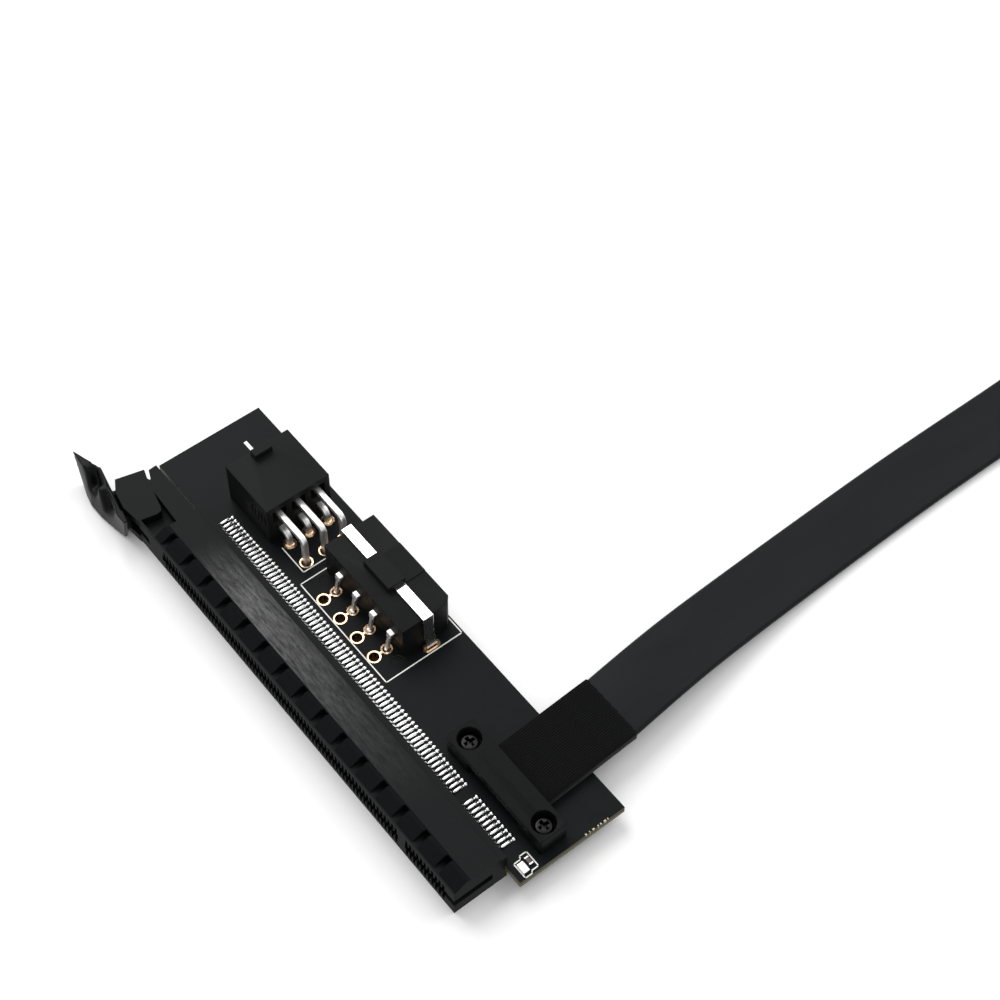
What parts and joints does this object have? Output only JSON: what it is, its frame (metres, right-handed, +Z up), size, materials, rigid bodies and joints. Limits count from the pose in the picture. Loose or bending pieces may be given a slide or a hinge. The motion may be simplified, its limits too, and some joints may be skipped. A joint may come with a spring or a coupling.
{
  "type": "pcie riser card",
  "caption": "Riser card with a long card slot and latch, two power sockets, a cable clamp and a flat cable that ends in an edge plug.",
  "frame": {"origin": "centre of the underside of the card end, on the surface that the part lies on, measured without the cable and the plug", "axes": "+X runs along the card slot from the latch to the cable end, +Y from the slot's mouth towards the cable, +Z up off the surface"},
  "size_m": [0.123, 0.2428, 0.0154],
  "materials": {
    "solder_mask": "satin black solder mask over glass fibre laminate",
    "gold_plate": "thin gold plate on copper",
    "slot_plastic": "moulded, rubbed grey along the top",
    "tinned_contact": "bright tin",
    "solder": "bright solder",
    "latch_plastic": "moulded",
    "socket_plastic": "moulded",
    "tinned_pin": "bright tin",
    "strap_steel": "bright tinned steel strip",
    "clamp_plastic": "machined",
    "black_screw": "black oxide",
    "woven_sleeve": "fine woven cloth tape",
    "white_ink": "screen printed ink",
    "led_lens": "milky lens",
    "chip_ceramic": "pale chip with tinned ends",
    "cable_jacket": "smooth satin jacket"
  },
  "bodies": {
    "riser": {"circuit_board": "solder_mask", "slot_housing": "slot_plastic", "slot_contacts_upper": "tinned_contact", "slot_contacts_lower": "tinned_contact", "six_pin_socket": "socket_plastic", "six_pin_lower_pins": "tinned_pin", "six_pin_upper_pins": "tinned_pin", "four_pin_socket": "socket_plastic", "four_pin_contacts": "tinned_pin", "hold_down_strap": "strap_steel", "clamp_bar_top": "clamp_plastic", "clamp_bar_bottom": "clamp_plastic", "clamp_screws": "black_screw", "clamp_nuts": "black_screw", "cable_sleeve": "woven_sleeve", "status_led": "led_lens", "led_resistor": "chip_ceramic", "flat_cable": "cable_jacket", "plug_cable_sleeve": "woven_sleeve", "plug_board": "solder_mask", "plug_clamp_bar_top": "clamp_plastic", "plug_clamp_bar_bottom": "clamp_plastic", "plug_clamp_screws": "black_screw", "plug_clamp_nuts": "black_screw"},
    "latch": {"latch_lever": "latch_plastic"}
  },
  "joints": [
    {"name": "latch_hinge", "type": "hinge", "parent": "riser", "child": "latch", "pos_m": [-0.0469, -0.017, 0], "axis": [0, 0, -1], "range_deg": [0, 25]}
  ]
}
